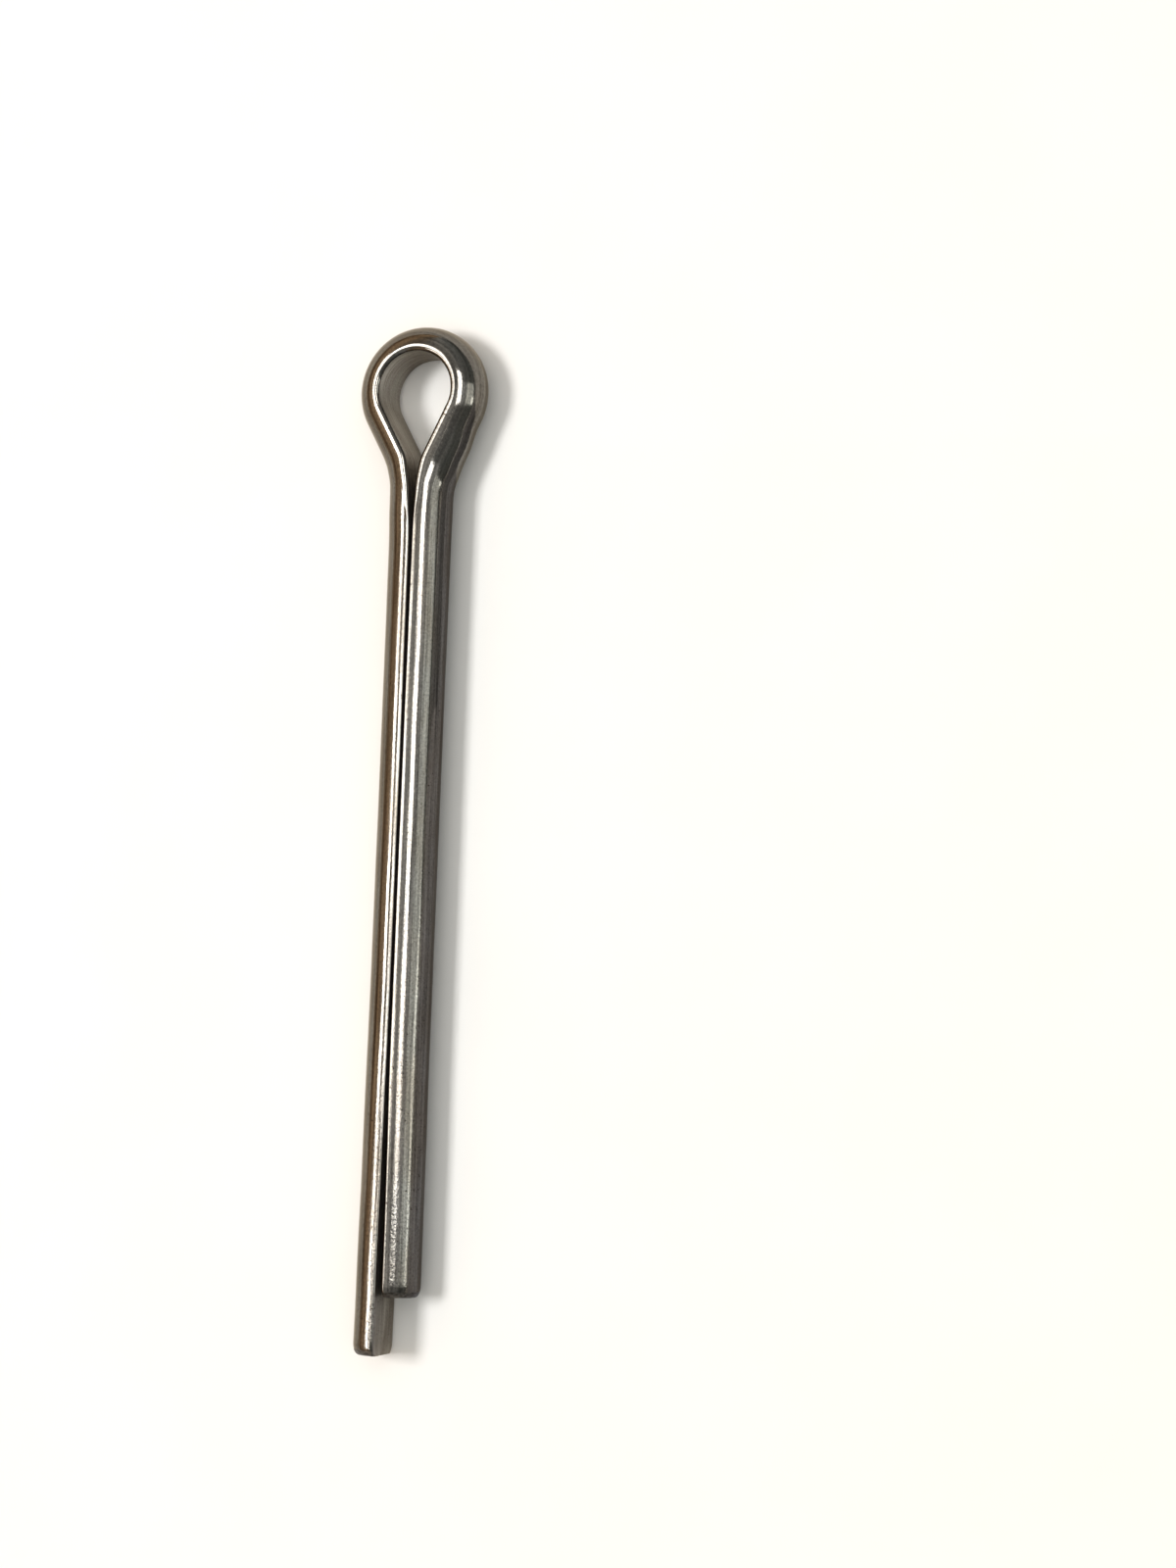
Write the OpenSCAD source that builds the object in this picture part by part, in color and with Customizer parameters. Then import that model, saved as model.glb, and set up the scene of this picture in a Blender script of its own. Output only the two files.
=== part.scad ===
// Split cotter pin, folded from one length of half-round wire.
// It lies flat, as it comes to rest: the shank runs along Y with its ends towards -Y,
// the eye lies in the XY plane towards +Y, and Z is up. The long leg is on the -X side.
// The origin is on the shank's middle line, where the straight shank begins under the eye.
// All sizes are in millimetres and degrees.

/* [Wire] */
// Diameter of the shank, which the round sides of both legs make together
shank_d = 4.64; // [3.6:0.02:5.4]
// Radius of the two rounded edges between the wire's flat and its round side
edge_r = 0.1; // [0.1:0.05:0.6]

/* [Shank] */
// Length of the short leg, from the origin to its cut end
short_leg = 60.85; // [20:0.05:90]
// Length by which the long leg stands out past the short one
prong = 4.4; // [1:0.05:9]
// Slot between the two flats where the shank begins
slot_gap = 0.16; // [0.06:0.02:0.4]
// Angle by which each leg leans away from the middle line towards its end
splay = 0.05; // [0.02:0.01:0.3]

/* [Neck] */
// Radius of the bend that turns each leg out towards the eye, along the flat
neck_r = 6; // [4:0.1:7.5]
// Angle at which the neck opens from the middle line
neck_angle = 27.3; // [18:0.1:30]

/* [Eye] */
// Diameter of the eye's hole, along the flat
eye_d = 5.6; // [5.2:0.1:9]
// Distance of the eye's middle from the middle line, towards the long leg
eye_shift = 0.05; // [0:0.05:0.2]

/* [Cut ends] */
// Radius that rounds the edge of each cut end
end_r = 0.6; // [0.3:0.05:1.2]

/* [Hidden] */
$fn = 96;

// Depth of the shallow crease where a rounding runs out, which gives the roundings true borders
crease = 0.01;
// Angle by which a bend is first drawn too long, before it is trimmed square
spare = 3;

shank_r = shank_d / 2;
eye_r = eye_d / 2;
// The wire is a little thinner than half round: its flat lies this far in front of the middle
// of the round side, so that the two legs and the slot between them make one round
flat_x = slot_gap / 2;

// A ten-thousandth of a millimetre is finer than the wire is made
function settled(x) = round(10000 * x) / 10000;

// A turn is kept as its sine and cosine, to six figures. It is moved by less than a hundredth
// of a degree to a turn that keeps its size, so that the pieces of wire meet face to face.
function six_figures(x) =
    let (unit = pow(10, ceil(log(abs(x) + 0.000000001)) - 6)) round(x / unit) * unit;
function size_lost(turn) =
    abs(pow(six_figures(cos(turn)), 2) + pow(six_figures(sin(turn)), 2) - 1);
function kept_turn(turn) =
    let (
        tries = [for (k = [-300:300]) turn + k / 50000],
        lost = [for (t = tries) size_lost(t)]
    )
    tries[search(min(lost), lost)[0]];

// The rounded edge nearly touches the round side from inside: height of its middle over the flat's
edge_rise = settled(sqrt(pow(shank_r - edge_r, 2) - pow(flat_x + edge_r, 2)));
// Direction of that middle, seen from the middle of the round side
edge_dir = atan2(edge_rise, flat_x + edge_r);

// Height of the eye's middle that gives both branches the neck angle before the eye is shifted
branch_run = eye_r * cos(neck_angle) - slot_gap / 2 - neck_r * (1 - cos(neck_angle));
eye_y = settled((eye_r + neck_r) * sin(neck_angle) + branch_run / tan(neck_angle));

// A branch is the tangent that crosses over between the neck's bend and the eye's circle.
// The shift is the distance of the eye's middle from the middle line, towards that branch.
function aside(shift) = neck_r + slot_gap / 2 - shift;
function apart(shift) = norm([aside(shift), eye_y]);
function branch_angle(shift) =
    asin((neck_r + eye_r) / apart(shift)) - atan2(aside(shift), eye_y);
function branch_length(shift) =
    settled(sqrt(pow(apart(shift), 2) - pow(neck_r + eye_r, 2)));

// What the rounding takes off one edge of the wire, between the flat and the round side
module edge_waste() {
    reach = shank_d;
    translate([edge_r - crease, edge_rise + crease]) difference() {
        polygon([
            [0, 0], reach * [cos(edge_dir), sin(edge_dir)], [-reach, reach], [-reach, 0]
        ]);
        circle(edge_r);
    }
}

// Section of the wire: the flat lies along x = 0 and the round side bulges towards +x
module wire_section() {
    difference() {
        intersection() {
            translate([-flat_x, 0]) circle(shank_r);
            translate([0, -shank_d]) square([shank_d, 2 * shank_d]);
        }
        edge_waste();
        mirror([0, 1]) edge_waste();
    }
}

// The pieces below are laid one after the other along the wire. Each begins at the origin and
// runs towards +Y with its flat on the left, and its children are placed where it ends.

module straight(length) {
    rotate([90, 0, 0]) translate([0, 0, -length]) linear_extrude(length) wire_section();
    translate([0, length]) children();
}

// Room behind the face on which a bend begins
module behind(margin) {
    translate([-margin, -shank_d, -shank_d])
        cube([shank_d + margin, shank_d, 2 * shank_d]);
}

// Bend to the left, with the flat on the inside at this radius
module turn_left(radius, turn) {
    difference() {
        translate([-radius, 0]) rotate(turn)
            rotate_extrude(angle = turn + spare, start = -turn - spare)
                translate([radius, 0]) wire_section();
        behind(eye_r);
    }
    translate([-radius, 0]) rotate(turn) translate([radius, 0]) children();
}

// Bend to the right, with the flat on the outside at this radius
module turn_right(radius, turn) {
    difference() {
        translate([radius, 0]) rotate(-turn)
            rotate_extrude(angle = turn + spare, start = 180)
                translate([radius, 0]) mirror([1, 0]) wire_section();
        behind(eye_r);
    }
    translate([radius, 0]) rotate(-turn) translate([-radius, 0]) children();
}

// What the shears and the tumbling take off a cut end that faces +Y at the origin
module end_waste() {
    translate([-flat_x, 0]) rotate([-90, 0, 0]) rotate_extrude()
        translate([shank_r - end_r + crease, crease - end_r]) difference() {
            square(2 * end_r);
            circle(end_r);
        }
}

// A leg with its rounded cut end
module leg(length) {
    difference() {
        straight(length);
        translate([0, length]) end_waste();
    }
}

// Half of the pin, from the top of the eye round to the branch, the neck and the leg's end
module side(leg_length, shift) {
    open = branch_angle(shift);
    rotate(90) translate([eye_r, 0])
        turn_left(eye_r, kept_turn(90 + open))
            straight(branch_length(shift))
                turn_right(neck_r, kept_turn(open + splay))
                    leg(leg_length);
}

module cotter_pin() {
    color([0.55, 0.52, 0.48]) translate([-eye_shift, eye_y]) {
        side(short_leg + prong, eye_shift);
        mirror([1, 0]) side(short_leg, -eye_shift);
    }
}

cotter_pin();
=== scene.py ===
"""Cotter pin: one length of half-round steel wire, folded into an eye and two straight legs.

The wire is drawn as a half-round section that is carried along its path from one cut end to
the other, so the eye, the necks and the legs are one closed skin with no seams. The pin lies
flat on a pale table, under soft studio panels. Sizes are in millimetres until a mesh is
finished, and in metres from then on.
"""

import bisect
import logging
import math
from dataclasses import dataclass, field
from enum import Enum, IntEnum
from typing import Any

import bmesh
import bpy
from mathutils import Euler, Matrix, Vector, noise


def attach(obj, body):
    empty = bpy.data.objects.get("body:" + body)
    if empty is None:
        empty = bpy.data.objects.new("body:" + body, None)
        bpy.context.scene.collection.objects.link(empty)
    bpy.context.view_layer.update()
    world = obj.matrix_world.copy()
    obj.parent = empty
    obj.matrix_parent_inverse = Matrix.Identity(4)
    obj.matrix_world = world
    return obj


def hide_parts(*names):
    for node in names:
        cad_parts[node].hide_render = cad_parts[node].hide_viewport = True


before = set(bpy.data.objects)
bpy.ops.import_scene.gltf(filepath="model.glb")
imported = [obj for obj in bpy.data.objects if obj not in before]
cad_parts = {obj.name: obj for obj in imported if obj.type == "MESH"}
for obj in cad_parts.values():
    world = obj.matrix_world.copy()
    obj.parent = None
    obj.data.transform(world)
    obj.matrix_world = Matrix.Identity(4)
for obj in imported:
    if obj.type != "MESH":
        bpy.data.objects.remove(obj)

log = logging.getLogger("cotter_pin")

MM = 0.001
FRAME_HEIGHT_PX = 1600

# each vertex's place on the wire in millimetres: depth under the flat, run along, height
PLACE = "wire_place"
# how far each vertex moves where the wire's edges are eased in full
EASE = "edge_easing"
# depth up to which a place counts as on the flat, and distance at which two points are one
ON_FLAT_MM = 0.001
SAME_POINT_MM = 1e-4

# the range that most of a noise texture's values lie in
NOISE_LOW, NOISE_HIGH = 0.3, 0.7

Edges = list[bmesh.types.BMEdge]
Rgba = tuple[float, float, float, float]
Socket = bpy.types.NodeSocket
Tree = bpy.types.NodeTree
# a value at each of a few places, in order of place
Ladder = tuple[tuple[float, float], ...]


# ---------------------------------------------------------------- small helpers


def linear(hex_colour: str) -> Rgba:
    """Turns an sRGB hex colour to the linear colour that shaders take.

    Args:
        hex_colour: colour as "#rrggbb".

    Returns:
        Red, green and blue in linear light, and an alpha of 1.
    """
    parts = [int(hex_colour[k : k + 2], 16) / 255 for k in (1, 3, 5)]
    low = [c / 12.92 if c <= 0.04045 else ((c + 0.055) / 1.055) ** 2.4 for c in parts]
    return (low[0], low[1], low[2], 1.0)


def add_node(
    tree: Tree,
    kind: str,
    settings: dict[str, Any] | None = None,
    feeds: dict[str | int, Any] | None = None,
    stops: list[tuple[float, Rgba]] | None = None,
) -> bpy.types.Node:
    """Adds one node to a tree, with its settings and what feeds its sockets.

    Args:
        tree: node tree of a material or a world.
        kind: node type, such as "ShaderNodeTexNoise".
        settings: node properties by name.
        feeds: for each input, by name or number, either a plain value or an output socket.
        stops: for a colour ramp, position from 0 to 1 and colour of each stop, in order.

    Returns:
        The new node.
    """
    node = tree.nodes.new(kind)
    for name, value in (settings or {}).items():
        setattr(node, name, value)
    for name, value in (feeds or {}).items():
        if isinstance(value, bpy.types.NodeSocket):
            tree.links.new(value, node.inputs[name])
        else:
            node.inputs[name].default_value = value
    if stops:
        points = node.color_ramp.elements
        while len(points) > 1:
            points.remove(points[-1])
        points[0].position, points[0].color = stops[0]
        for position, colour in stops[1:]:
            points.new(position).color = colour
    return node


def new_tree(material: bpy.types.Material) -> Tree:
    """Empties a material's node tree.

    Args:
        material: the material that is being made.

    Returns:
        Its empty node tree.
    """
    material.use_nodes = True
    material.node_tree.nodes.clear()
    return material.node_tree


def as_object(bm: bmesh.types.BMesh, name: str) -> bpy.types.Object:
    """Makes a finished mesh an object of the scene, at the origin.

    Args:
        bm: the mesh, which is freed.
        name: name of the object and of its mesh.

    Returns:
        The new object.
    """
    mesh = bpy.data.meshes.new(name)
    bm.to_mesh(mesh)
    bm.free()
    piece = bpy.data.objects.new(name, mesh)
    bpy.context.scene.collection.objects.link(piece)
    return piece


def about(centre: Vector, move: Matrix) -> Matrix:
    """Makes a move that is about the origin into one that is about this centre."""
    return Matrix.Translation(centre) @ move @ Matrix.Translation(-centre)


def grey(level: float) -> Rgba:
    """Makes a neutral linear colour of this level."""
    return (level, level, level, 1.0)


def on_ladder(ladder: Ladder, at: float) -> float:
    """Reads a smooth line through the rungs of a ladder.

    Args:
        ladder: place and value of each rung, in order of place.
        at: place to read.

    Returns:
        The value there, held level beyond both ends.
    """
    if at <= ladder[0][0]:
        return ladder[0][1]
    for (x0, v0), (x1, v1) in zip(ladder, ladder[1:]):
        if at <= x1:
            t = (at - x0) / (x1 - x0)
            return v0 + (v1 - v0) * t * t * (3 - 2 * t)
    return ladder[-1][1]


# ---------------------------------------------------------------- finishes


@dataclass(frozen=True)
class DrawnSteel:
    """Low-carbon steel wire, drawn through a half-round die and left bright.

    The die leaves fine lines that run along the wire and spread each reflection a little
    across it. Handling has dulled it to a warm grey, with browner patches of thin tarnish,
    and has left dents and specks of grime, mostly towards the two ends. The flat was rolled,
    so it is duller than the drawn round. The flat is also painted paler, which is painted light
    that brightens it as more light would.

    On real wire most of the lines, dents, grain and specks are too fine to show, so they are
    drawn as coarse as they need to be.
    """

    name: str = "steel_wire_drawn"
    clean: str = "#6c6a66"
    tarnish: str = "#635e57"
    # the flat's two colours are painted paler than the round's: painted light, which brightens the flat
    flat_clean_painted_paler: str = "#9c9993"
    flat_tarnish_painted_paler: str = "#7e7973"
    grime: str = "#2e2821"
    glancing: str = "#efe6da"
    metallic: float = 1.0
    roughness: float = 0.10
    roughness_flat: float = 0.34
    # how the roughness changes, from clean patches to tarnished ones
    roughness_change: tuple[float, float] = (-0.04, 0.06)

    line_width_mm: float = 0.2
    line_length_mm: float = 9.0
    line_depth_mm: float = 0.006
    line_contrast: float = 0.42
    dent_mm: float = 0.2
    dent_depth_mm: float = 0.010
    grain_mm: float = 0.16
    grain_contrast: float = 0.28
    speck_mm: float = 0.22
    patch_width_mm: float = 2.5
    patch_length_mm: float = 25 / 3

    # where in the patches' noise the steel turns from clean to tarnished
    tarnished: tuple[float, float] = (0.36, 0.62)
    flat_tarnished: tuple[float, float] = (0.40, 0.60)
    # where in the specks' noise grime begins and is full, and how much wear adds to that noise
    grimy: tuple[float, float] = (0.71, 0.77)
    grime_from_wear: float = 0.06
    # the depth under the flat over which its finish gives way to the drawn round's
    flat_fades_mm: tuple[float, float] = (0.001, 0.006)
    # about half the wire's length, and how far from there wear begins to grow and is full
    half_length_mm: float = 75.0
    wear_mm: tuple[float, float] = (45.0, 73.0)
    least_wear: float = 0.25

    def build(self) -> bpy.types.Material:
        """Builds the material.

        Returns:
            The finished material, which reads the wire's own place attribute, in millimetres.
        """
        material = bpy.data.materials.new(self.name)
        tree = new_tree(material)
        place = add_node(tree, "ShaderNodeAttribute", {"attribute_name": PLACE}).outputs["Vector"]
        part = add_node(tree, "ShaderNodeSeparateXYZ", feeds={"Vector": place})
        lines = self._die_lines(tree, place)
        # small dents that handling leaves
        dents = add_node(
            tree,
            "ShaderNodeTexNoise",
            feeds={"Vector": place, "Scale": 1 / self.dent_mm, "Detail": 3.0, "Roughness": 0.6},
        ).outputs["Fac"]
        worn = self._wear(tree, part.outputs["Y"])
        patches = self._patches(tree, place)
        on_flat = self._flat_share(tree, part.outputs["X"])
        tint = self._tint(tree, patches, on_flat)
        mottled = self._mottle(tree, place, tint, lines)
        shader = add_node(
            tree,
            "ShaderNodeBsdfPrincipled",
            feeds={
                "Base Color": self._grime(tree, place, mottled, worn),
                "Metallic": self.metallic,
                "Specular Tint": linear(self.glancing),
                "Roughness": self._roughness(tree, patches, on_flat),
                "Normal": self._relief(tree, lines, dents, worn),
            },
        )
        add_node(tree, "ShaderNodeOutputMaterial", feeds={"Surface": shader.outputs["BSDF"]})
        return material

    def _die_lines(self, tree: Tree, place: Socket) -> Socket:
        """Draws the die's lines, narrow across the wire and long along it.

        Args:
            tree: the material's node tree.
            place: the place on the wire.

        Returns:
            The lines' height, about 0 to 1.
        """
        width, length = 1 / self.line_width_mm, 1 / self.line_length_mm
        drawn_out = add_node(
            tree, "ShaderNodeMapping", feeds={"Vector": place, "Scale": (width, length, width)}
        ).outputs["Vector"]
        return add_node(
            tree,
            "ShaderNodeTexNoise",
            feeds={"Vector": drawn_out, "Scale": 1.0, "Detail": 3.0, "Roughness": 0.6},
        ).outputs["Fac"]

    def _wear(self, tree: Tree, along: Socket) -> Socket:
        """Grades the wear: least round the middle of the wire, and full by its two ends.

        Args:
            tree: the material's node tree.
            along: how far along the wire the place is, in millimetres.

        Returns:
            The share of wear, up to 1.
        """
        past_middle = add_node(
            tree, "ShaderNodeMath", {"operation": "SUBTRACT"}, {0: along, 1: self.half_length_mm}
        ).outputs["Value"]
        from_middle = add_node(
            tree, "ShaderNodeMath", {"operation": "ABSOLUTE"}, {0: past_middle}
        ).outputs["Value"]
        return add_node(
            tree,
            "ShaderNodeMapRange",
            feeds={
                "Value": from_middle,
                "From Min": self.wear_mm[0],
                "From Max": self.wear_mm[1],
                "To Min": self.least_wear,
                "To Max": 1.0,
            },
        ).outputs["Result"]

    def _patches(self, tree: Tree, place: Socket) -> Socket:
        """Draws the patches of tarnish, a few millimetres long.

        Args:
            tree: the material's node tree.
            place: the place on the wire.

        Returns:
            How tarnished the steel is, about 0 to 1.
        """
        width, length = 1 / self.patch_width_mm, 1 / self.patch_length_mm
        spread = add_node(
            tree, "ShaderNodeMapping", feeds={"Vector": place, "Scale": (width, length, width)}
        ).outputs["Vector"]
        return add_node(
            tree,
            "ShaderNodeTexNoise",
            feeds={"Vector": spread, "Scale": 1.0, "Detail": 5.0, "Roughness": 0.62},
        ).outputs["Fac"]

    def _flat_share(self, tree: Tree, depth: Socket) -> Socket:
        """Finds where the wire's flat is, by the depth under it.

        Args:
            tree: the material's node tree.
            depth: how far under the flat the place is, in millimetres.

        Returns:
            1 on the flat and 0 on the round side.
        """
        return add_node(
            tree,
            "ShaderNodeMapRange",
            {"interpolation_type": "SMOOTHSTEP"},
            {
                "Value": depth,
                "From Min": self.flat_fades_mm[0],
                "From Max": self.flat_fades_mm[1],
                "To Min": 1.0,
                "To Max": 0.0,
            },
        ).outputs["Result"]

    def _tint(self, tree: Tree, patches: Socket, on_flat: Socket) -> Socket:
        """Tints the steel, clean or tarnished, on its round side and its flat.

        Args:
            tree: the material's node tree.
            patches: how tarnished the steel is.
            on_flat: 1 on the flat and 0 on the round side.

        Returns:
            The tint.
        """
        round_side, flat = (
            add_node(
                tree,
                "ShaderNodeValToRGB",
                feeds={"Fac": patches},
                stops=list(zip(turns, (linear(clean), linear(tarnish)))),
            ).outputs["Color"]
            for turns, clean, tarnish in (
                (self.tarnished, self.clean, self.tarnish),
                # the flat's paler colours are painted light, which brightens the flat as more light
                # would
                (self.flat_tarnished, self.flat_clean_painted_paler, self.flat_tarnish_painted_paler),
            )
        )
        return add_node(
            tree,
            "ShaderNodeMix",
            {"data_type": "RGBA"},
            {"Factor": on_flat, 6: round_side, 7: flat},
        ).outputs[2]

    def _mottle(self, tree: Tree, place: Socket, tint: Socket, lines: Socket) -> Socket:
        """Lightens and darkens the tint by the die's lines and by a fine grain of tarnish.

        Args:
            tree: the material's node tree.
            place: the place on the wire.
            tint: the steel's tint.
            lines: the die lines' height.

        Returns:
            The mottled tint.
        """
        grain = add_node(
            tree,
            "ShaderNodeTexNoise",
            feeds={"Vector": place, "Scale": 1 / self.grain_mm, "Detail": 3.0, "Roughness": 0.65},
        ).outputs["Fac"]
        by_lines, by_grain = (
            add_node(
                tree,
                "ShaderNodeMapRange",
                feeds={
                    "Value": pattern,
                    "From Min": NOISE_LOW,
                    "From Max": NOISE_HIGH,
                    "To Min": level - contrast,
                    "To Max": level + contrast,
                },
            ).outputs["Result"]
            for pattern, level, contrast in (
                (lines, 0.0, self.line_contrast),
                (grain, 1.0, self.grain_contrast),
            )
        )
        level = add_node(
            tree, "ShaderNodeMath", {"operation": "ADD"}, {0: by_lines, 1: by_grain}
        ).outputs["Value"]
        return add_node(
            tree,
            "ShaderNodeMix",
            {"data_type": "RGBA", "blend_type": "MULTIPLY"},
            {"Factor": 1.0, 6: tint, 7: level},
        ).outputs[2]

    def _grime(self, tree: Tree, place: Socket, tint: Socket, worn: Socket) -> Socket:
        """Sows specks of grime thinly over the steel, and thicker where it is worn.

        Args:
            tree: the material's node tree.
            place: the place on the wire.
            tint: the steel's mottled tint.
            worn: the share of wear.

        Returns:
            The finished colour.
        """
        specks = add_node(
            tree,
            "ShaderNodeTexNoise",
            feeds={"Vector": place, "Scale": 1 / self.speck_mm, "Detail": 2.0, "Roughness": 0.5},
        ).outputs["Fac"]
        gathered = add_node(
            tree,
            "ShaderNodeMath",
            {"operation": "MULTIPLY_ADD"},
            {0: worn, 1: self.grime_from_wear, 2: specks},
        ).outputs["Value"]
        sown = add_node(
            tree,
            "ShaderNodeValToRGB",
            feeds={"Fac": gathered},
            stops=list(zip(self.grimy, (grey(0.0), grey(1.0)))),
        ).outputs["Color"]
        return add_node(
            tree,
            "ShaderNodeMix",
            {"data_type": "RGBA"},
            {"Factor": sown, 6: tint, 7: linear(self.grime)},
        ).outputs[2]

    def _roughness(self, tree: Tree, patches: Socket, on_flat: Socket) -> Socket:
        """Makes the flat duller than the round side, and each a little uneven by the tarnish.

        Args:
            tree: the material's node tree.
            patches: how tarnished the steel is.
            on_flat: 1 on the flat and 0 on the round side.

        Returns:
            The roughness.
        """
        dulled = add_node(
            tree,
            "ShaderNodeMapRange",
            feeds={"Value": on_flat, "To Min": self.roughness, "To Max": self.roughness_flat},
        ).outputs["Result"]
        uneven = add_node(
            tree,
            "ShaderNodeMapRange",
            feeds={
                "Value": patches,
                "From Min": NOISE_LOW,
                "From Max": NOISE_HIGH,
                "To Min": self.roughness_change[0],
                "To Max": self.roughness_change[1],
            },
        ).outputs["Result"]
        return add_node(
            tree, "ShaderNodeMath", {"operation": "ADD", "use_clamp": True}, {0: dulled, 1: uneven}
        ).outputs["Value"]

    def _relief(self, tree: Tree, lines: Socket, dents: Socket, worn: Socket) -> Socket:
        """Scores the die's lines into the surface, and dents it where it is worn.

        Args:
            tree: the material's node tree.
            lines: the die lines' height.
            dents: the dents' height.
            worn: the share of wear.

        Returns:
            The surface's normal.
        """
        scored = add_node(
            tree,
            "ShaderNodeBump",
            feeds={"Strength": 0.7, "Distance": self.line_depth_mm * MM, "Height": lines},
        ).outputs["Normal"]
        return add_node(
            tree,
            "ShaderNodeBump",
            feeds={
                "Strength": worn,
                "Distance": self.dent_depth_mm * MM,
                "Height": dents,
                "Normal": scored,
            },
        ).outputs["Normal"]


@dataclass(frozen=True)
class ShearedSteel:
    """The same steel where the shears parted it: a torn, matt grey face with short tear lines.

    Most real tear lines are too fine to show, so they are drawn as coarse as they need to be.
    """

    name: str = "steel_wire_sheared"
    torn: str = "#625e58"
    shadowed: str = "#35322e"
    metallic: float = 1.0
    roughness: float = 0.42
    tear_width_mm: float = 0.16
    tear_length_mm: float = 1.6 / 3
    tear_depth_mm: float = 0.02

    def build(self) -> bpy.types.Material:
        """Builds the material of the cut faces.

        Returns:
            The finished material, whose tears run through the wire's depth.
        """
        material = bpy.data.materials.new(self.name)
        tree = new_tree(material)
        place = add_node(tree, "ShaderNodeAttribute", {"attribute_name": PLACE}).outputs["Vector"]
        width, length = 1 / self.tear_width_mm, 1 / self.tear_length_mm
        drawn_out = add_node(
            tree, "ShaderNodeMapping", feeds={"Vector": place, "Scale": (length, width, width)}
        ).outputs["Vector"]
        tears = add_node(
            tree,
            "ShaderNodeTexNoise",
            feeds={"Vector": drawn_out, "Scale": 1.0, "Detail": 4.0},
        ).outputs["Fac"]
        colour = add_node(
            tree,
            "ShaderNodeValToRGB",
            feeds={"Fac": tears},
            stops=[(0.35, linear(self.shadowed)), (0.65, linear(self.torn))],
        ).outputs["Color"]
        bump = add_node(
            tree,
            "ShaderNodeBump",
            feeds={"Strength": 0.7, "Distance": self.tear_depth_mm * MM, "Height": tears},
        ).outputs["Normal"]
        shader = add_node(
            tree,
            "ShaderNodeBsdfPrincipled",
            feeds={
                "Base Color": colour,
                "Metallic": self.metallic,
                "Roughness": self.roughness,
                "Normal": bump,
            },
        )
        add_node(tree, "ShaderNodeOutputMaterial", feeds={"Surface": shader.outputs["BSDF"]})
        return material


@dataclass(frozen=True)
class MattSheet:
    """A matt sheet with a mottle too faint to read as a pattern.

    It is the table's white laminate, or with another name and other colours a painted card.
    """

    name: str = "table_white_laminate"
    pale: str = "#f2f1ee"
    shade: str = "#f0efec"
    roughness: float = 0.6
    shine: float = 0.2
    mottle_mm: float = 18.0

    def build(self) -> bpy.types.Material:
        """Builds the material.

        Returns:
            The finished material.
        """
        material = bpy.data.materials.new(self.name)
        tree = new_tree(material)
        place = add_node(tree, "ShaderNodeTexCoord").outputs["Object"]
        mottle = add_node(
            tree,
            "ShaderNodeTexNoise",
            feeds={"Vector": place, "Scale": 1 / (self.mottle_mm * MM), "Detail": 4.0},
        ).outputs["Fac"]
        colour = add_node(
            tree,
            "ShaderNodeValToRGB",
            feeds={"Fac": mottle},
            stops=[(0.4, linear(self.pale)), (0.6, linear(self.shade))],
        ).outputs["Color"]
        shader = add_node(
            tree,
            "ShaderNodeBsdfPrincipled",
            feeds={"Base Color": colour, "Roughness": self.roughness, "Specular IOR Level": self.shine},
        )
        add_node(tree, "ShaderNodeOutputMaterial", feeds={"Surface": shader.outputs["BSDF"]})
        return material


# ---------------------------------------------------------------- the wire


class Leg(Enum):
    """The two legs, with the side of the middle line that each is on."""

    LONG = -1
    SHORT = 1


class Skin(IntEnum):
    """The finishes of the wire's skin, in the order of the piece's materials."""

    DRAWN = 0
    SHEARED = 1


@dataclass(frozen=True)
class Unevenness:
    """Random swells of the wire's skin, some thousandths of a millimetre deep.

    Across and along are how many of them go to a millimetre, across the wire and along it.
    The shift keeps one set of swells from matching another.
    """

    across: float
    along: float
    depth: float
    shift: float = 0.0

    def at(self, place: Vector) -> float:
        """Finds how far the skin swells at one place on the wire.

        Args:
            place: the place on the wire, in millimetres.

        Returns:
            How far it stands out, in millimetres.
        """
        x, y, z = place
        spot = Vector((x * self.across + self.shift, y * self.along, z * self.across))
        return self.depth * noise.noise(spot)


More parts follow.
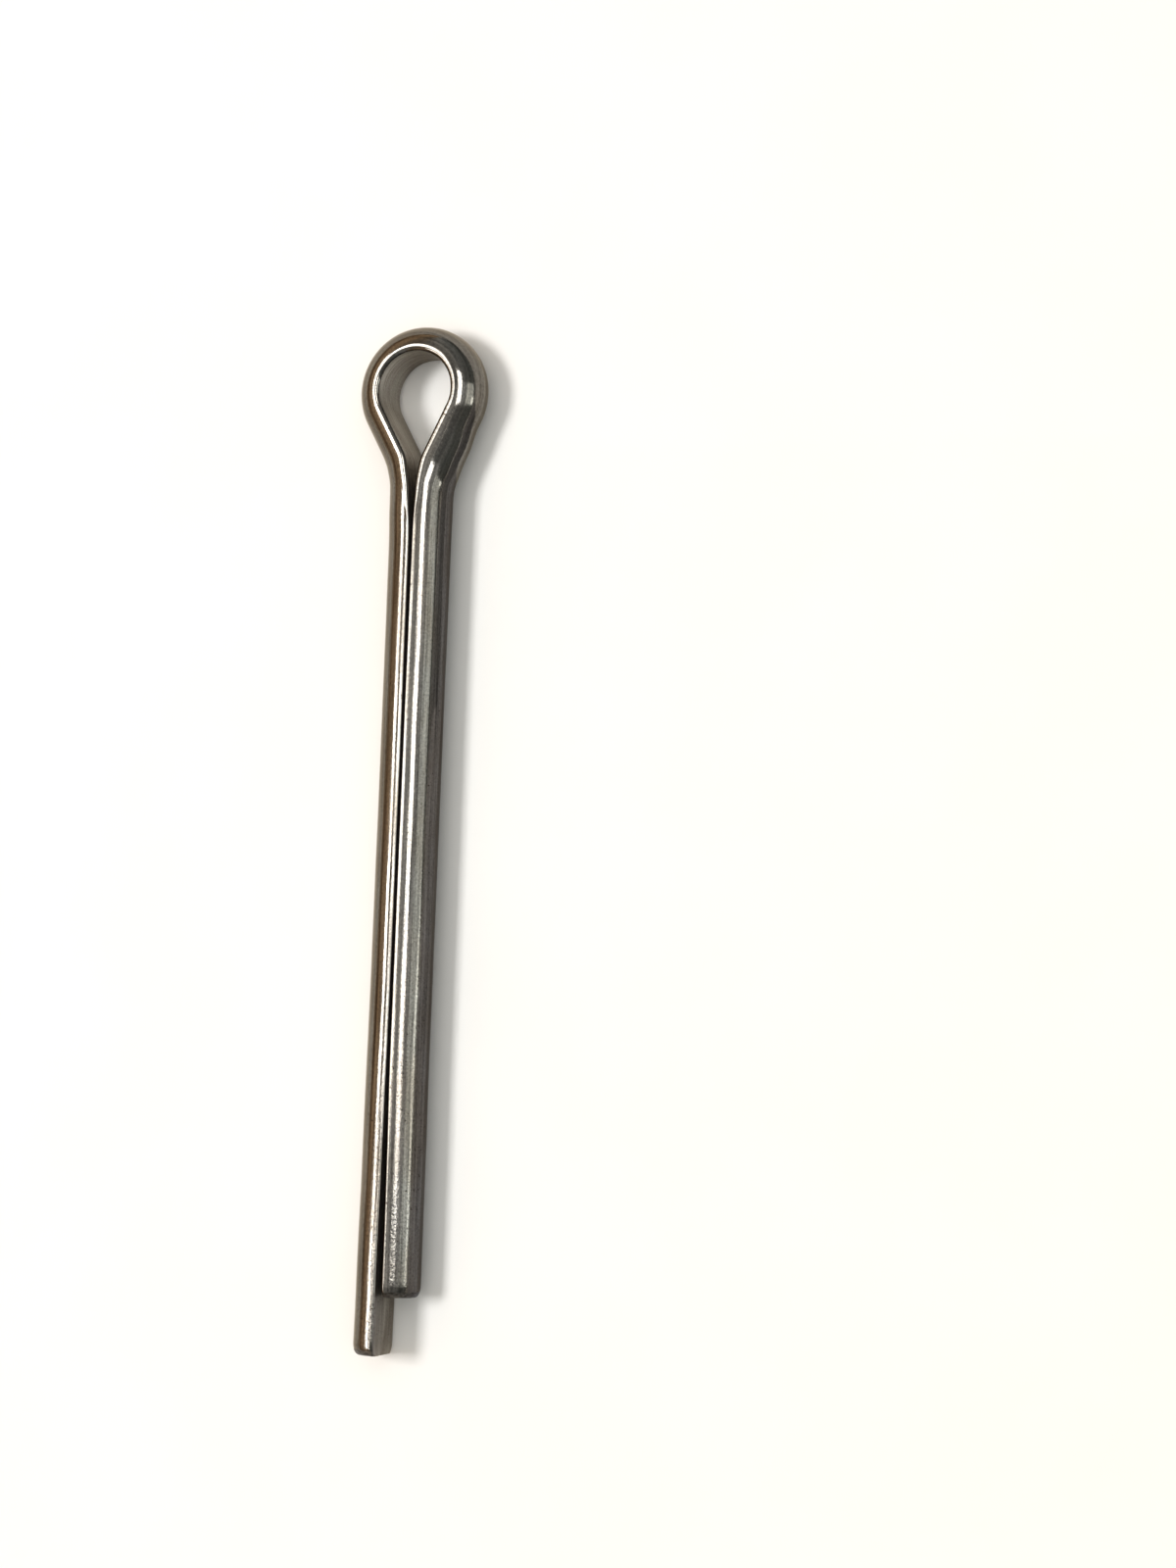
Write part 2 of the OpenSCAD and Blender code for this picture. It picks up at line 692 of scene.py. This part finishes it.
@dataclass
class WireSection:
    """The wire's half-round section: its flat along x = 0, its round side towards +x.

    The flat lies a little in front of the middle of the round side, so that two legs and the
    slot between them make one round shank. Where its edges are eased, they are rounded more,
    and the flat is worn in.
    """

    shank_radius: float = 2.32
    flat_inset: float = 0.08
    edge_radius: float = 0.09
    eased_edge_radius: float = 0.38
    eased_flat: float = 0.10
    flat_steps: int = 10
    edge_steps: int = 12
    round_steps: int = 72

    def draw(self, bm: bmesh.types.BMesh, edge: float, flat: float = 0.0) -> Edges:
        """Draws the section as one closed loop of edges in the XZ plane.

        Args:
            bm: mesh to draw in.
            edge: radius of the two rounded edges.
            flat: how far the flat is moved in, towards the round side.

        Returns:
            The loop's edges.
        """
        aside = self.flat_inset + flat + edge
        height = math.sqrt((self.shank_radius - edge) ** 2 - aside**2)
        turn = math.pi - math.atan2(height, aside)
        start = bm.verts.new((flat, 0.0, -height))
        tip, rise = start, 2 * height / self.flat_steps
        for _ in range(self.flat_steps):
            tip = self._extend(bm, tip, Matrix.Translation((0, 0, rise)))
        tip = self._arc(bm, tip, Vector((flat + edge, 0, height)), turn, self.edge_steps)
        middle = Vector((-self.flat_inset, 0, 0))
        rest = 2 * math.pi - 2 * turn
        tip = self._arc(bm, tip, middle, rest, self.round_steps)
        self._arc(bm, tip, Vector((flat + edge, 0, -height)), turn, self.edge_steps)
        bmesh.ops.remove_doubles(bm, verts=bm.verts[:], dist=SAME_POINT_MM)
        return bm.edges[:]

    def draw_both(self, bm: bmesh.types.BMesh) -> Edges:
        """Draws the section with its crisp edges, and notes on each vertex how they ease.

        Args:
            bm: mesh to draw in, with the layers for the place and the easing.

        Returns:
            The loop's edges.
        """
        eased = bmesh.new()
        self.draw(eased, self.eased_edge_radius, self.eased_flat)
        ring = self.draw(bm, self.edge_radius)
        place, ease = bm.verts.layers.float_vector[PLACE], bm.verts.layers.float_vector[EASE]
        for crisp, soft in zip(bm.verts, eased.verts):
            crisp[place] = crisp.co.copy()
            crisp[ease] = soft.co - crisp.co
        eased.free()
        return ring

    def _arc(
        self,
        bm: bmesh.types.BMesh,
        tip: bmesh.types.BMVert,
        middle: Vector,
        turn: float,
        steps: int,
    ) -> bmesh.types.BMVert:
        """Carries the line's tip round a middle, clockwise seen with +x to the right.

        Args:
            bm: mesh being drawn in.
            tip: the line's last vertex.
            middle: centre of the arc.
            turn: whole angle of the arc.
            steps: number of edges in it.

        Returns:
            The line's new last vertex.
        """
        step = about(middle, Matrix.Rotation(turn / steps, 4, "Y"))
        for _ in range(steps):
            tip = self._extend(bm, tip, step)
        return tip

    @staticmethod
    def _extend(
        bm: bmesh.types.BMesh, tip: bmesh.types.BMVert, move: Matrix
    ) -> bmesh.types.BMVert:
        """Draws the line out by one edge.

        Args:
            bm: mesh being drawn in.
            tip: the line's last vertex.
            move: where the new edge's far end lies from the tip.

        Returns:
            The line's new last vertex.
        """
        out = bmesh.ops.extrude_vert_indiv(bm, verts=[tip])["verts"][0]
        bmesh.ops.transform(bm, matrix=move, verts=[out])
        return out


@dataclass
class FoldedWire:
    """The whole pin: the wire folded at its middle round an eye, with a leg on each side.

    The path is followed along the flat, from the long leg's cut end through the eye to the
    short leg's. The round side is always on the left of the path.
    """

    section: WireSection = field(default_factory=WireSection)
    finish: DrawnSteel = field(default_factory=DrawnSteel)
    cut: ShearedSteel = field(default_factory=ShearedSteel)
    long_leg: float = 65.25
    short_leg: float = 60.85
    eye_radius: float = 2.80
    # the eye's middle over the necks, which makes the two branches lean by 27.3 degrees on average
    eye_height: float = 7.4071
    eye_shift: float = 0.12
    neck_radius: float = 6.0
    # how long the cut ends' rounding is, and how far it turns in on the round side and the edges
    end_rounding: float = 0.90
    end_depth_round: float = 0.42
    end_depth_edges: float = 0.60
    # the torn finish starts this far along the rounding, and this deep under the flat
    sheared_from: float = 0.40
    sheared_under_flat: float = 0.02
    ring_spacing: float = 0.45
    bend_step_deg: float = 2.6
    fewest_steps: int = 2
    end_rings: int = 9
    sharp_over_deg: float = 40.0
    # depth under the flat at which the run along a bend is reckoned
    run_depth: float = 0.9
    # share of the edges' easing, by distance along the wire from the middle of the fold
    edges_eased: Ladder = ((0.0, 1.0), (12.5, 0.9), (17.0, 0.05), (55.0, 0.05), (72.0, 0.35))
    # share by which the short leg's branch is deeper, by distance past the middle of the fold
    branch_deeper: Ladder = ((8.0, 0.0), (10.2, 0.12), (12.0, 0.12), (14.6, 0.0))
    # how far each leg stands out from its true line, by distance under the necks
    long_leg_stands_out: Ladder = (
        (-2.6, 0.0),
        (-0.95, 0.16),
        (1.4, 0.12),
        (4.5, 0.04),
        (20.0, 0.01),
        (36.0, 0.02),
        (50.0, 0.09),
        (60.0, 0.15),
        (66.0, 0.19),
    )
    short_leg_stands_out: Ladder = (
        (-2.6, 0.0),
        (-0.9, 0.08),
        (0.5, 0.07),
        (4.5, 0.04),
        (20.0, 0.02),
        (44.0, 0.02),
        (50.0, 0.06),
        (61.0, 0.08),
    )
    # how far the shank is rolled about its own middle line, by distance under the necks
    rolled_deg: Ladder = ((-2.5, 0.0), (3.5, 3.6))
    unevenness: tuple[Unevenness, ...] = (
        Unevenness(across=0.35, along=0.16, depth=0.009),
        Unevenness(across=0.9, along=0.55, depth=0.0022, shift=7.0),
    )
    # where the section has got to: its run along the wire, its place and its heading
    _walked: float = field(default=0.0, init=False)
    _spot: Vector = field(default_factory=Vector, init=False)
    _heading: float = field(default=0.0, init=False)
    # the heading at each ring, by its run along the wire
    _headings: list[tuple[float, float]] = field(default_factory=list, init=False)

    def build(self) -> bpy.types.Object:
        """Builds and dresses the pin.

        Returns:
            The finished piece, at the origin, in metres.
        """
        bm = bmesh.new()
        bm.verts.layers.float_vector.new(PLACE)
        bm.verts.layers.float_vector.new(EASE)
        ring = self.section.draw_both(bm)
        # the section turns round, so that its round side is on the left of a path towards +Y
        bmesh.ops.transform(bm, matrix=Matrix.Rotation(math.pi, 4, "Z"), verts=bm.verts[:])
        start = (-self.section.flat_inset, -(self.long_leg - self.end_rounding), 0)
        bmesh.ops.translate(bm, verts=bm.verts[:], vec=start)
        last = self._follow_path(bm, ring)
        far = self._round_off(bm, last, 1)
        self._walked = 0.0
        near = self._round_off(bm, ring, -1)
        self._ease_edges(bm)
        self._bow(bm)
        self._roll(bm)
        self._swell(bm)
        caps = bmesh.ops.contextual_create(bm, geom=far)["faces"]
        caps += bmesh.ops.contextual_create(bm, geom=near)["faces"]
        return self._finish(bm, caps)

    def _aside(self, leg: Leg) -> float:
        """Finds how far to the side of the eye's middle the centre of a neck's bend is."""
        return self.neck_radius + self.section.flat_inset + leg.value * self.eye_shift

    def _branch_turn(self, leg: Leg) -> float:
        """Finds the angle between a leg and the branch that carries it to the eye.

        Args:
            leg: which leg.

        Returns:
            The angle, in radians.
        """
        aside = self._aside(leg)
        apart = math.hypot(aside, self.eye_height)
        over_both = math.asin((self.neck_radius + self.eye_radius) / apart)
        return over_both - math.atan2(aside, self.eye_height)

    def _branch_run(self, leg: Leg) -> float:
        """Finds the length of the straight branch between a neck and the eye."""
        reach = self.neck_radius + self.eye_radius
        return math.sqrt(self._aside(leg) ** 2 + self.eye_height**2 - reach**2)

    def _follow_path(self, bm: bmesh.types.BMesh, ring: Edges) -> Edges:
        """Carries the section from one rounded end to the other.

        Args:
            bm: mesh being made.
            ring: edges of the section at the long leg's end.

        Returns:
            Edges of the section at the short leg's end.
        """
        self._walked = 0.0
        self._spot = Vector((-self.section.flat_inset, -(self.long_leg - self.end_rounding), 0))
        self._heading = math.pi / 2
        self._headings = [(0.0, self._heading)]
        up, down = self._branch_turn(Leg.LONG), self._branch_turn(Leg.SHORT)
        ring = self._straight(bm, ring, self.long_leg - self.end_rounding)
        ring = self._bend(bm, ring, self.neck_radius, up)
        ring = self._straight(bm, ring, self._branch_run(Leg.LONG))
        ring = self._bend(bm, ring, -self.eye_radius, -(math.pi + up + down))
        ring = self._straight(bm, ring, self._branch_run(Leg.SHORT))
        ring = self._bend(bm, ring, self.neck_radius, down)
        return self._straight(bm, ring, self.short_leg - self.end_rounding)

    def _straight(self, bm: bmesh.types.BMesh, ring: Edges, length: float) -> Edges:
        """Carries the section straight on.

        Args:
            bm: mesh being made.
            ring: edges of the section where the straight begins.
            length: length of the straight.

        Returns:
            Edges of the section where the straight ends.
        """
        steps = max(self.fewest_steps, round(length / self.ring_spacing))
        ahead = Vector((math.cos(self._heading), math.sin(self._heading), 0)) * length
        for _ in range(steps):
            ring = self._carry(bm, ring, Matrix.Translation(ahead / steps), length / steps)
        self._spot += ahead
        self._headings.append((self._walked, self._heading))
        return ring

    def _bend(self, bm: bmesh.types.BMesh, ring: Edges, radius: float, turn: float) -> Edges:
        """Carries the section round a bend.

        Args:
            bm: mesh being made.
            ring: edges of the section where the bend begins.
            radius: radius along the flat, below zero where the centre is on the path's right.
            turn: angle of the bend, below zero for a bend to the right.

        Returns:
            Edges of the section where the bend ends.
        """
        left = Vector((-math.sin(self._heading), math.cos(self._heading), 0))
        centre = self._spot + left * radius
        steps = max(self.fewest_steps, round(abs(math.degrees(turn)) / self.bend_step_deg))
        step = about(centre, Matrix.Rotation(turn / steps, 4, "Z"))
        run = abs(radius * turn) - self.run_depth * turn
        for _ in range(steps):
            ring = self._carry(bm, ring, step, run / steps)
            self._heading += turn / steps
            self._headings.append((self._walked, self._heading))
        self._spot = centre + Matrix.Rotation(turn, 3, "Z") @ (self._spot - centre)
        return ring

    def _carry(self, bm: bmesh.types.BMesh, ring: Edges, move: Matrix, run: float) -> Edges:
        """Draws the skin out by one ring.

        Args:
            bm: mesh being made.
            ring: edges to draw out.
            move: where they go.
            run: how far that is along the wire.

        Returns:
            The new ring's edges.
        """
        grown = bmesh.ops.extrude_edge_only(bm, edges=ring)["geom"]
        verts = [g for g in grown if isinstance(g, bmesh.types.BMVert)]
        bmesh.ops.transform(bm, matrix=move, verts=verts)
        self._walked += run
        place = bm.verts.layers.float_vector[PLACE]
        for vert in verts:
            x, _, z = vert[place]
            vert[place] = (x, self._walked, z)
        fresh = set(verts)
        return [
            g
            for g in grown
            if isinstance(g, bmesh.types.BMEdge) and g.verts[0] in fresh and g.verts[1] in fresh
        ]

    def _round_off(self, bm: bmesh.types.BMesh, ring: Edges, along: int) -> Edges:
        """Draws a cut end out by its rounding: the round side turns in, the flat stays flat.

        Args:
            bm: mesh being made.
            ring: edges of the section where the rounding begins.
            along: 1 if this end is the path's last, and -1 if it is its first.

        Returns:
            Edges round the cut face.
        """
        verts = list(dict.fromkeys(v for e in ring for v in e.verts))
        place = bm.verts.layers.float_vector[PLACE]
        on_flat = [v.co for v in verts if v[place].x < ON_FLAT_MM]
        pivot = sum(on_flat, Vector()) / len(on_flat)
        pivot.y = 0
        deep, tall, drawn = 1.0, 1.0, 0.0
        for k in range(1, self.end_rings + 1):
            angle = math.pi / 2 * k / self.end_rings
            turned_in = (1 - math.cos(angle)) / self.section.shank_radius
            new_deep = 1 - self.end_depth_round * turned_in
            new_tall = 1 - self.end_depth_edges * turned_in
            reach = self.end_rounding * math.sin(angle)
            run = reach - drawn
            pinch = Matrix.Diagonal((new_deep / deep, 1, new_tall / tall, 1))
            # both legs point towards -Y
            move = Matrix.Translation((0, -run, 0)) @ about(pivot, pinch)
            ring = self._carry(bm, ring, move, along * run)
            deep, tall, drawn = new_deep, new_tall, reach
        return ring

    def _ease_edges(self, bm: bmesh.types.BMesh) -> None:
        """Softens the wire's edges where folding pressed them, and deepens the short branch.

        Args:
            bm: mesh being made, whose layer for the easing is used up.
        """
        place, ease = bm.verts.layers.float_vector[PLACE], bm.verts.layers.float_vector[EASE]
        # the middle of the fold is halfway between the tops of the two legs
        middle = 0.5 * (self._headings[-1][0] + self.long_leg - self.short_leg)
        walked = [at for at, _ in self._headings]
        for vert in bm.verts:
            past = vert[place].y - middle
            share = on_ladder(self.edges_eased, abs(past))
            deeper = on_ladder(self.branch_deeper, past)
            k = bisect.bisect_left(walked, vert[place].y - SAME_POINT_MM)
            heading = self._headings[min(k, len(walked) - 1)][1]
            left = Vector((-math.sin(heading), math.cos(heading), 0))
            vert.co += share * (left * vert[ease].x + Vector((0, 0, vert[ease].z)))
            vert.co += deeper * vert[place].x * left
        bm.verts.layers.float_vector.remove(ease)

    def _bow(self, bm: bmesh.types.BMesh) -> None:
        """Lets each leg stand out from its true line, as the wire springs back after folding.

        Args:
            bm: mesh being made.
        """
        for vert in bm.verts:
            leg = Leg.LONG if vert.co.x < 0 else Leg.SHORT
            long_one = leg is Leg.LONG
            ladder = self.long_leg_stands_out if long_one else self.short_leg_stands_out
            vert.co.x += leg.value * on_ladder(ladder, -vert.co.y)

    def _roll(self, bm: bmesh.types.BMesh) -> None:
        """Turns the shank a little about its own middle line, as folding by machine leaves it.

        Args:
            bm: mesh being made.
        """
        for vert in bm.verts:
            turn = math.radians(on_ladder(self.rolled_deg, -vert.co.y))
            vert.co = Matrix.Rotation(turn, 3, "Y") @ vert.co

    def _swell(self, bm: bmesh.types.BMesh) -> None:
        """Makes the skin a few thousandths uneven, which breaks up the long reflections.

        Args:
            bm: mesh being made.
        """
        bm.normal_update()
        place = bm.verts.layers.float_vector[PLACE]
        moved = [vert.normal * sum(u.at(vert[place]) for u in self.unevenness) for vert in bm.verts]
        for vert, step in zip(bm.verts, moved):
            vert.co += step

    def _finish(self, bm: bmesh.types.BMesh, caps: list[bmesh.types.BMFace]) -> bpy.types.Object:
        """Closes the skin, brings it to metres and gives it its finishes.

        Args:
            bm: mesh being made, which is freed.
            caps: the two cut faces.

        Returns:
            The finished piece.
        """
        place = bm.verts.layers.float_vector[PLACE]
        last = self._headings[-1][0]
        for cap in caps:
            cap.material_index = Skin.SHEARED
        for face in bm.faces:
            along = [vert[place].y for vert in face.verts]
            pinched = max(along) < -self.sheared_from or min(along) > last + self.sheared_from
            if pinched and max(vert[place].x for vert in face.verts) > self.sheared_under_flat:
                face.material_index = Skin.SHEARED
        bmesh.ops.recalc_face_normals(bm, faces=bm.faces[:])
        for face in bm.faces:
            face.smooth = True
        for edge in bm.edges:
            if edge.calc_face_angle() > math.radians(self.sharp_over_deg):
                edge.smooth = False
        bmesh.ops.scale(bm, vec=(MM, MM, MM), verts=bm.verts[:])
        piece = as_object(bm, "folded_wire")
        piece.data.materials.append(self.finish.build())
        piece.data.materials.append(self.cut.build())
        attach(piece, "root")
        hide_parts("cotter_pin")
        return piece


# ---------------------------------------------------------------- the studio


@dataclass
class Table:
    """The pale table that the pin lies on."""

    finish: MattSheet = field(default_factory=MattSheet)
    half_width: float = 3.0

    def build(self, height: float) -> bpy.types.Object:
        """Builds the table's top.

        Args:
            height: level of its surface, in metres.

        Returns:
            The finished table top.
        """
        bm = bmesh.new()
        bmesh.ops.create_grid(bm, x_segments=8, y_segments=8, size=self.half_width)
        bmesh.ops.translate(bm, verts=bm.verts[:], vec=(0, 0, height))
        table = as_object(bm, "table_top")
        table.data.materials.append(self.finish.build())
        return table


class Task(Enum):
    """What a panel is hung for."""

    LIGHT = "lights the table and the pin, and isn't mirrored"
    CARD = "is only mirrored, as a white card is in a product studio"


@dataclass
class Panel:
    """One soft panel of light, which hangs to the side of the pin or over it, and faces it.

    Its angle is taken from the right-hand horizon over the top, and its spread is the angle
    that it fills across the pin, both in degrees. Its run is its length along the pin, its
    offset is how far along the pin its middle hangs, towards the eye, and its distance is
    from the pin, all in metres.
    """

    name: str
    task: Task
    angle: float
    spread: float
    run: float
    offset: float
    brightness: float
    tint: str = "#ffffff"
    distance: float = 0.8

    def build(self) -> bpy.types.Object:
        """Hangs the panel.

        Returns:
            Its lamp.
        """
        lamp = bpy.data.lights.new(self.name, "AREA")
        lamp.shape = "RECTANGLE"
        lamp.size = 2 * self.distance * math.tan(math.radians(self.spread) / 2)
        lamp.size_y = self.run
        lamp.color = linear(self.tint)[:3]
        lamp.energy = self.brightness * math.pi * lamp.size * lamp.size_y
        obj = bpy.data.objects.new(self.name, lamp)
        bpy.context.scene.collection.objects.link(obj)
        turn = math.radians(90 - self.angle)
        obj.location = (self.distance * math.sin(turn), self.offset, self.distance * math.cos(turn))
        obj.rotation_euler = (0, turn, 0)
        obj.visible_diffuse = self.task is Task.LIGHT
        obj.visible_glossy = self.task is Task.CARD
        return obj


@dataclass
class Flag:
    """A grey card that lies on the table to the right of the pin, and is only mirrored.

    It is painted shade in the pin's reflections: like a flag in a product studio, it makes the
    pin's right side mirror a darker table, as if the table there lay in shade. It reaches
    from its near edge to its far edge to the right, and from one end to the other along the
    pin, and lies a little above the table or above another flag.
    """

    name: str
    near: float
    far: float
    ends: tuple[float, float]
    lift: float
    finish: MattSheet

    def build(self, table_height: float) -> bpy.types.Object:
        """Lays the card on the table.

        Args:
            table_height: level of the table's surface, in metres.

        Returns:
            The card.
        """
        bm = bmesh.new()
        bmesh.ops.create_grid(bm, x_segments=1, y_segments=1, size=0.5)
        sides = (self.far - self.near, self.ends[1] - self.ends[0], 1)
        bmesh.ops.scale(bm, vec=sides, verts=bm.verts)
        middle = ((self.near + self.far) / 2, sum(self.ends) / 2, table_height + self.lift)
        bmesh.ops.translate(bm, vec=middle, verts=bm.verts)
        card = as_object(bm, self.name)
        card.data.materials.append(self.finish.build())
        card.visible_camera = card.visible_diffuse = card.visible_shadow = False
        return card


@dataclass
class Room:
    """The dim room round the panels, which the steel mirrors between them.

    Its colours go by angle, from the right-hand horizon over the top to the left-hand one: a
    cool grey wall on the right, a pale ceiling, and tan and brown boards on the left.
    """

    colours: tuple[tuple[float, str], ...] = (
        (0.0, "#80827e"),
        (30.0, "#80827e"),
        (42.0, "#a3a4a1"),
        (60.0, "#a3a4a1"),
        (74.0, "#b9b8b4"),
        (95.0, "#c4c3bf"),
        (110.0, "#b3aea6"),
        (122.0, "#a8957f"),
        (132.0, "#a8957f"),
        (143.0, "#e2bf99"),
        (161.0, "#e2bf99"),
        (167.0, "#8f6e52"),
        (171.0, "#8f6e52"),
        (175.0, "#d2bfa4"),
    )
    brightness: float = 1.33
    # the near side's share of the brightness, and the directions' Y between which it dims
    near_side: float = 0.8
    dims_towards: tuple[float, float] = (-0.30, -0.14)

    def build(self) -> bpy.types.World:
        """Builds the room.

        Returns:
            The world that stands for it.
        """
        world = bpy.data.worlds.new("studio_room")
        bpy.context.scene.world = world
        world.use_nodes = True
        tree = world.node_tree
        tree.nodes.clear()
        towards = add_node(tree, "ShaderNodeTexCoord").outputs["Generated"]
        part = add_node(tree, "ShaderNodeSeparateXYZ", feeds={"Vector": towards})
        angle = add_node(
            tree,
            "ShaderNodeMath",
            {"operation": "ARCTAN2"},
            {0: part.outputs["Z"], 1: part.outputs["X"]},
        ).outputs["Value"]
        share = add_node(
            tree, "ShaderNodeMath", {"operation": "DIVIDE"}, {0: angle, 1: math.pi}
        ).outputs["Value"]
        colour = add_node(
            tree,
            "ShaderNodeValToRGB",
            feeds={"Fac": share},
            stops=[(at / 180, linear(hue)) for at, hue in self.colours],
        ).outputs["Color"]
        strength = add_node(
            tree,
            "ShaderNodeMapRange",
            {"interpolation_type": "SMOOTHSTEP"},
            {
                "Value": part.outputs["Y"],
                "From Min": self.dims_towards[0],
                "From Max": self.dims_towards[1],
                "To Min": self.brightness * self.near_side,
                "To Max": self.brightness,
            },
        ).outputs["Result"]
        glow = add_node(
            tree, "ShaderNodeBackground", feeds={"Color": colour, "Strength": strength}
        )
        add_node(tree, "ShaderNodeOutputWorld", feeds={"Surface": glow.outputs["Background"]})
        return world


@dataclass
class Studio:
    """Table, grey cards, panels, room and camera. Its places are in metres."""

    table: Table = field(default_factory=Table)
    # the flags are painted shade, which only the steel mirrors, as darker table on the pin's right
    flags: tuple[Flag, ...] = (
        Flag(
            "flag_right",
            near=0.0010,
            far=0.0800,
            ends=(-0.0750, 0.0005),
            lift=0.0001,
            finish=MattSheet("painted_shade_grey_card", "#bbbbc1", "#b6b6bc"),
        ),
        Flag(
            "flag_by_neck",
            near=0.0065,
            far=0.1500,
            ends=(-0.0160, 0.0035),
            lift=0.0002,
            finish=MattSheet("painted_shade_dark_card", "#838387", "#7e7e82"),
        ),
    )
    room: Room = field(default_factory=Room)
    panels: tuple[Panel, ...] = (
        Panel("key", Task.LIGHT, 114, 12, 0.22, 0.0, 33.0),
        Panel("fill", Task.LIGHT, 66, 60, 1.0, 0.0, 0.45),
        Panel("card_left", Task.CARD, 136, 9, 0.9, -0.02, 15.0),
        Panel("card_overhead", Task.CARD, 105.5, 32, 0.21, 0.0, 9.5),
        Panel("card_overhead_far", Task.CARD, 107, 28, 0.505, 0.3575, 12.0),
        Panel("card_top", Task.CARD, 79, 14, 0.4, 0.0, 0.4),
        Panel("card_right", Task.CARD, 61, 14, 0.51, 0.17, 13.0),
        Panel("card_right_low", Task.CARD, 44, 12, 0.4, 0.05, 0.55),
        Panel("card_right_floor", Task.CARD, 22, 29, 0.4, 0.05, 1.8, "#f4f8f4"),
        Panel("card_right_edge", Task.CARD, 8.5, 6, 0.13, -0.075, 5.0, "#f4f8f4"),
    )
    camera_place: tuple[float, float, float] = (0.10441, -0.04162, 0.24702)
    camera_turn_deg: tuple[float, float, float] = (4.4028, 19.7227, 2.3489)
    focal_px: float = 3628.0
    sensor_mm: float = 36.0
    shift: tuple[float, float] = (-0.0055, 0.0244)
    nearest: float = 0.01
    farthest: float = 20.0

    def build(self, table_height: float) -> None:
        """Sets the studio up.

        Args:
            table_height: level of the table's surface, in metres.
        """
        self.table.build(table_height)
        for flag in self.flags:
            flag.build(table_height)
        self.room.build()
        for panel in self.panels:
            panel.build()
        self._camera()
        settings = bpy.context.scene.view_settings
        settings.view_transform = "Standard"
        settings.look = "None"

    def _camera(self) -> None:
        """Sets up the camera for an upright frame, whose long side carries the sensor."""
        lens = bpy.data.cameras.new("camera")
        lens.sensor_fit = "AUTO"
        lens.sensor_width = self.sensor_mm
        lens.lens = self.focal_px / FRAME_HEIGHT_PX * self.sensor_mm
        lens.shift_x, lens.shift_y = self.shift
        lens.clip_start, lens.clip_end = self.nearest, self.farthest
        camera = bpy.data.objects.new("camera", lens)
        camera.location = self.camera_place
        camera.rotation_euler = Euler([math.radians(a) for a in self.camera_turn_deg])
        bpy.context.scene.collection.objects.link(camera)
        bpy.context.scene.camera = camera


def report(piece: bpy.types.Object) -> None:
    """Logs what a finished piece came to."""
    size = [round(d / MM, 3) for d in piece.dimensions]
    log.info("%s: %d faces, %s mm", piece.name, len(piece.data.polygons), size)


def main() -> None:
    """Builds the pin and the studio in order, and reports each."""
    logging.basicConfig(level=logging.INFO, format="%(message)s")
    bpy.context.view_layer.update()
    wire = FoldedWire().build()
    report(wire)
    lowest = min(vert.co.z for vert in wire.data.vertices)
    Studio().build(lowest)
    log.info("studio: table at %.3f mm", lowest / MM)


if __name__ == "__main__":
    main()
